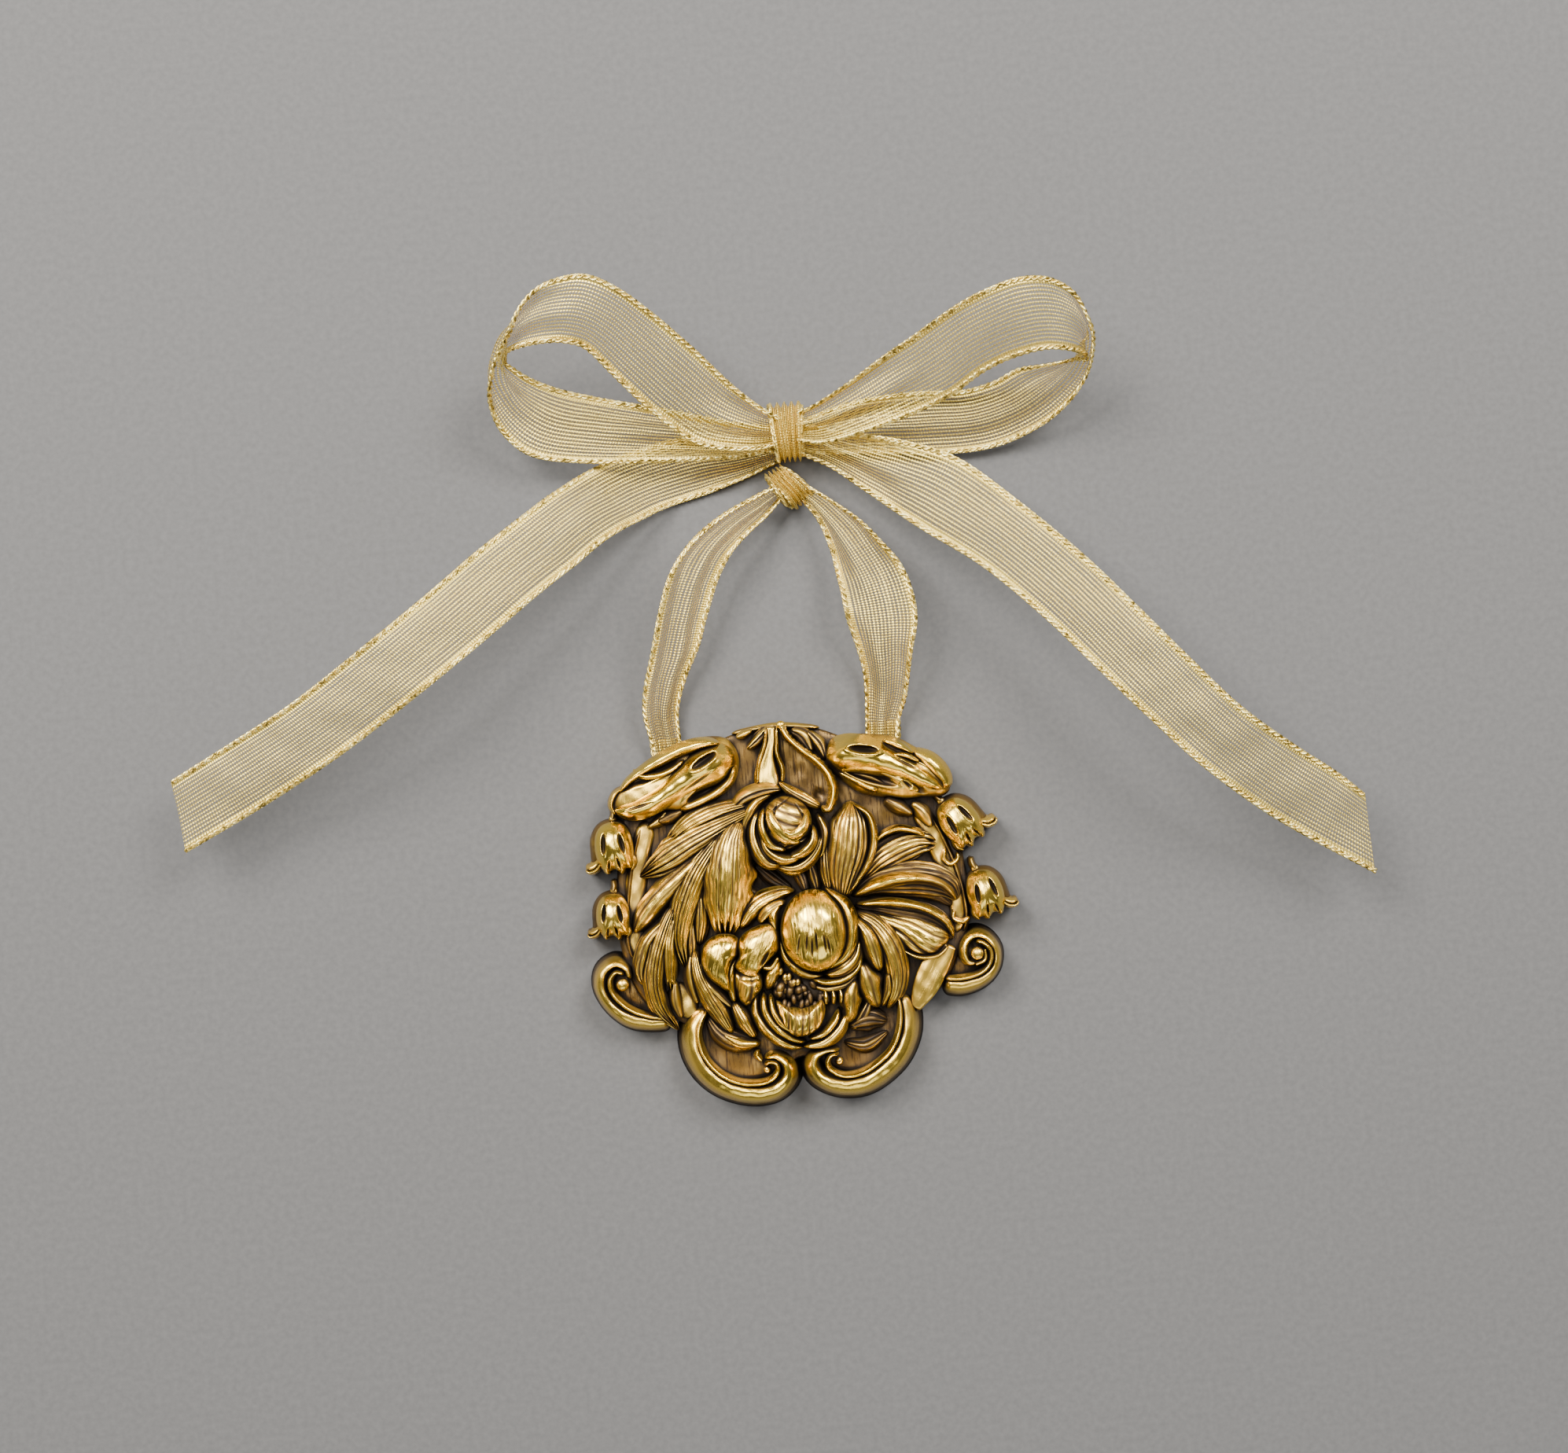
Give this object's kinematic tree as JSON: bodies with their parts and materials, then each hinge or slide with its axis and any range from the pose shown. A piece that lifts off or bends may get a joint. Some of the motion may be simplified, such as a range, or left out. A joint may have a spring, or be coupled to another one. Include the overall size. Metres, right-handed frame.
{
  "type": "hanging ornament",
  "caption": "Layered antique brass flower plaque in a scrolled cartouche frame, hung from a sheer gold ribbon tied in a bow above it",
  "frame": {"origin": "on the flat back of the plaque, at the middle of its width, 35 mm below its top edge", "axes": "+X to the plaque's right seen from the front, +Y from the plaque up toward the bow, +Z out of the back toward the relief"},
  "size_m": [0.2149, 0.1518, 0.0239],
  "materials": {
    "relief_brass": "antique gold: dark brown patina in the recesses, burnished bright on the high points",
    "plate_brass": "darker brown antique brass, satin",
    "ribbon_gauze": "sheer woven metallic gold gauze with braided edges"
  },
  "bodies": {
    "plaque": {"base_plate": "plate_brass", "bellflower_left_lower": "relief_brass", "bellflower_left_upper": "relief_brass", "bellflower_right_lower": "relief_brass", "bellflower_right_upper": "relief_brass", "bottom_scroll_left": "relief_brass", "bottom_scroll_right": "relief_brass", "bud_collar_petals": "relief_brass", "bud_globe": "relief_brass", "bud_sepal_left": "relief_brass", "bud_sepal_right": "relief_brass", "hanger_bail_left": "plate_brass", "hanger_bail_right": "plate_brass", "leaf_lobe": "relief_brass", "leaf_lower": "relief_brass", "leaf_narrow": "relief_brass", "leaf_oval": "relief_brass", "leaf_striped": "relief_brass", "leaf_upper": "relief_brass", "petal_crescent": "relief_brass", "petal_cup": "relief_brass", "petal_cup_rim_left": "relief_brass", "petal_cup_rim_right": "relief_brass", "petal_folded_1": "relief_brass", "petal_folded_2": "relief_brass", "petal_folded_3": "relief_brass", "petal_globe": "relief_brass", "petal_left_outer": "relief_brass", "petal_left_upper": "relief_brass", "petal_lower_left": "relief_brass", "petal_right_1": "relief_brass", "petal_right_2": "relief_brass", "petal_right_3": "relief_brass", "petal_right_fan": "relief_brass", "petal_right_outer": "relief_brass", "petal_upper": "relief_brass", "petal_wavy": "relief_brass", "ribbon_behind": "ribbon_gauze", "side_rail_left": "relief_brass", "side_rail_right": "relief_brass", "side_scroll_left": "relief_brass", "side_scroll_right": "relief_brass", "stamen_cluster": "relief_brass", "stem_flat": "relief_brass", "stem_vine": "relief_brass", "strap_right": "relief_brass", "top_curl_left": "relief_brass", "top_curl_right": "relief_brass"},
    "hanging_ribbon": {"ribbon_strand_left": "ribbon_gauze", "ribbon_strand_right": "ribbon_gauze", "ribbon_lower_knot": "ribbon_gauze"},
    "bow": {"ribbon_bow_knot": "ribbon_gauze", "ribbon_loop_left": "ribbon_gauze", "ribbon_loop_right": "ribbon_gauze", "ribbon_tail_left_root": "ribbon_gauze", "ribbon_tail_right_root": "ribbon_gauze"},
    "tail_left": {"ribbon_tail_left": "ribbon_gauze"},
    "tail_right": {"ribbon_tail_right": "ribbon_gauze"}
  },
  "joints": [
    {"name": "ribbon_swing", "type": "hinge", "parent": "plaque", "child": "hanging_ribbon", "pos_m": [0, 0.035, 0.0015], "axis": [1, 0, 0], "range_deg": [-100, 80]},
    {"name": "bow_tilt", "type": "hinge", "parent": "hanging_ribbon", "child": "bow", "pos_m": [0.0065, 0.0824, 0.0034], "axis": [1, 0, 0], "range_deg": [-40, 40], "stiffness_Nm_per_rad": 0.002},
    {"name": "tail_left_flex", "type": "hinge", "parent": "bow", "child": "tail_left", "pos_m": [-0.0324, 0.07595, 0.0085], "axis": [-0.7619, 0.6476, 0.0152], "range_deg": [-35, 35], "stiffness_Nm_per_rad": 0.002},
    {"name": "tail_right_flex", "type": "hinge", "parent": "bow", "child": "tail_right", "pos_m": [0.03345, 0.074, 0.0101], "axis": [0.5516, 0.831, 0.0716], "range_deg": [-35, 35], "stiffness_Nm_per_rad": 0.002}
  ]
}
